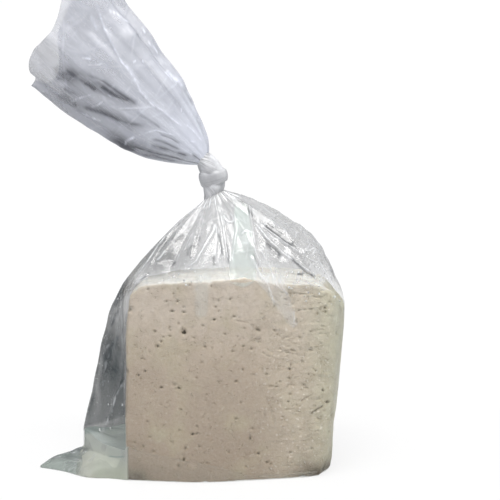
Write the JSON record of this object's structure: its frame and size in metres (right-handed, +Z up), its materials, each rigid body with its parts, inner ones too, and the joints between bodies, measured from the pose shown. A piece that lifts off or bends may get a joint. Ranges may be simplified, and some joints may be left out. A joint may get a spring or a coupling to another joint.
{
  "type": "tofu block in a knotted clear bag",
  "caption": "Block of firm tofu standing in a clear plastic bag, knotted above it, with the open tail flaring up to one side and a slack corner of film lying flat.",
  "frame": {"origin": "middle of the block's footprint, on the surface that it stands on", "axes": "+Z up; X along the block's wide faces, with the slack side of the bag at -X; -Y is the front face"},
  "size_m": [0.189, 0.0873, 0.3131],
  "materials": {
    "tofu": "satin",
    "bag_film": "gloss",
    "whey": "gloss"
  },
  "bodies": {
    "root": {"bag_body": "tofu", "bag_knot": "bag_film", "bag_tail": "bag_film"}
  },
  "joints": []
}
